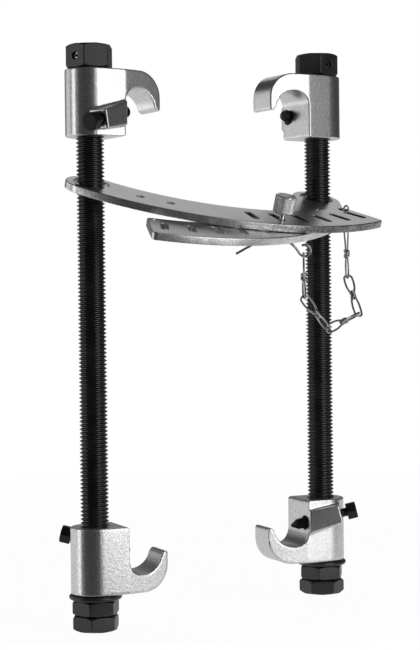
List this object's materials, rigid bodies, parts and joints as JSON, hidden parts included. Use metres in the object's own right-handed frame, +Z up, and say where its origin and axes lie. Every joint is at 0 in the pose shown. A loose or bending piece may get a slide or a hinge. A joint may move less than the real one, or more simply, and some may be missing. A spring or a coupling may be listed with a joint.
{
  "type": "coil spring compressor",
  "caption": "Screw-driven coil spring compressor: hooked jaws on threaded rods with hex heads and lock screws, tied by curved slotted link bars, a knurled pin and a tether chain.",
  "frame": {"origin": "the seat at the top of the mouth of the left upper hook, midway across the hook, where a coil of the spring holds the tool", "axes": "+Z up along the threaded rods, +X from the left rod to the right rod, +Y away from the link bars"},
  "size_m": [0.2125, 0.1218, 0.3786],
  "materials": {
    "cast_jaw": "blasted cast steel, satin silver",
    "black_oxide": "black oxide on steel",
    "plated_steel": "bright zinc plate",
    "plated_wire": "plated wire"
  },
  "bodies": {
    "left_upper": {"left_upper_jaw": "cast_jaw"},
    "left_rod_set": {"left_threaded_rod": "black_oxide", "left_hex_head": "black_oxide", "left_head_pin": "black_oxide", "left_thrust_washer": "black_oxide", "left_stop_nut": "black_oxide", "left_jam_nut": "black_oxide"},
    "left_lower": {"left_lower_jaw": "cast_jaw"},
    "left_upper_screw": {"left_upper_lock_screw": "black_oxide"},
    "left_lower_screw": {"left_lower_lock_screw": "black_oxide"},
    "left_bar": {"left_link_bar": "plated_steel"},
    "right_upper": {"right_upper_jaw": "cast_jaw"},
    "right_rod_set": {"right_threaded_rod": "black_oxide", "right_hex_head": "black_oxide", "right_head_pin": "black_oxide", "right_thrust_washer": "black_oxide", "right_stop_nut": "black_oxide", "right_jam_nut": "black_oxide"},
    "right_lower": {"right_lower_jaw": "cast_jaw"},
    "right_upper_screw": {"right_upper_lock_screw": "black_oxide"},
    "right_lower_screw": {"right_lower_lock_screw": "black_oxide"},
    "right_bar": {"right_link_bar": "plated_steel"},
    "link_pin": {"link_pin_knob": "plated_steel", "link_pin_shank": "plated_steel", "link_pin_washer": "plated_steel", "wire_clip": "plated_wire"},
    "chain": {"chain_link_1": "plated_wire", "chain_link_2": "plated_wire", "chain_link_3": "plated_wire", "chain_link_4": "plated_wire", "chain_link_5": "plated_wire"}
  },
  "joints": [
    {"name": "left_bar_swing", "type": "hinge", "parent": "left_upper", "child": "left_bar", "pos_m": [-0.0278, 0, -0.3458], "axis": [0, 0, 1], "range_deg": [-30, 30]},
    {"name": "link_pin_slide", "type": "slide", "parent": "left_bar", "child": "link_pin", "axis": [0, -0.342, 0.9397], "range_m": [-0.004, 0]},
    {"name": "right_bar_turn", "type": "hinge", "parent": "left_bar", "child": "right_bar", "pos_m": [0.07194, -0.06849, -0.08773], "axis": [0, -0.342, 0.9397], "range_deg": [0, 12]},
    {"name": "chain_swing", "type": "hinge", "parent": "left_bar", "child": "chain", "pos_m": [0.08747, -0.07104, -0.10841], "axis": [0.7784, 0.3891, 0.4926], "range_deg": [-10, 5]},
    {"name": "right_jaw_swing", "type": "hinge", "parent": "right_bar", "child": "right_upper", "pos_m": [0.15068, 0, -0.3401], "axis": [0, 0, 1], "range_deg": [-40, 40]},
    {"name": "left_rod_spin", "type": "hinge", "parent": "left_upper", "child": "left_rod_set", "pos_m": [-0.0278, 0, -0.3458], "axis": [0, 0, 1], "range_deg": [0, 14400]},
    {"name": "left_lower_jaw_climb", "type": "slide", "parent": "left_upper", "child": "left_lower", "axis": [0, 0, 1], "range_m": [0, 0.1]},
    {"name": "left_upper_screw_slide", "type": "slide", "parent": "left_upper", "child": "left_upper_screw", "axis": [0.8645, 0.4405, 0.2419], "range_m": [-0.01, 0.0035]},
    {"name": "left_lower_screw_slide", "type": "slide", "parent": "left_lower", "child": "left_lower_screw", "axis": [0.7948, -0.5565, -0.2419], "range_m": [-0.01, 0.0035]},
    {"name": "right_rod_spin", "type": "hinge", "parent": "right_upper", "child": "right_rod_set", "pos_m": [0.15068, 0, -0.3401], "axis": [0, 0, 1], "range_deg": [0, 14400]},
    {"name": "right_lower_jaw_climb", "type": "slide", "parent": "right_upper", "child": "right_lower", "axis": [0, 0, 1], "range_m": [0, 0.1]},
    {"name": "right_upper_screw_slide", "type": "slide", "parent": "right_upper", "child": "right_upper_screw", "axis": [-0.8645, -0.4405, 0.2419], "range_m": [-0.01, 0.0035]},
    {"name": "right_lower_screw_slide", "type": "slide", "parent": "right_lower", "child": "right_lower_screw", "axis": [-0.7948, 0.5565, -0.2419], "range_m": [-0.01, 0.0035]}
  ],
  "couplings": [
    {"joint": "left_lower_jaw_climb", "follows": "left_rod_spin", "m_per_rad": 0.00039789},
    {"joint": "right_lower_jaw_climb", "follows": "right_rod_spin", "m_per_rad": 0.00039789}
  ]
}
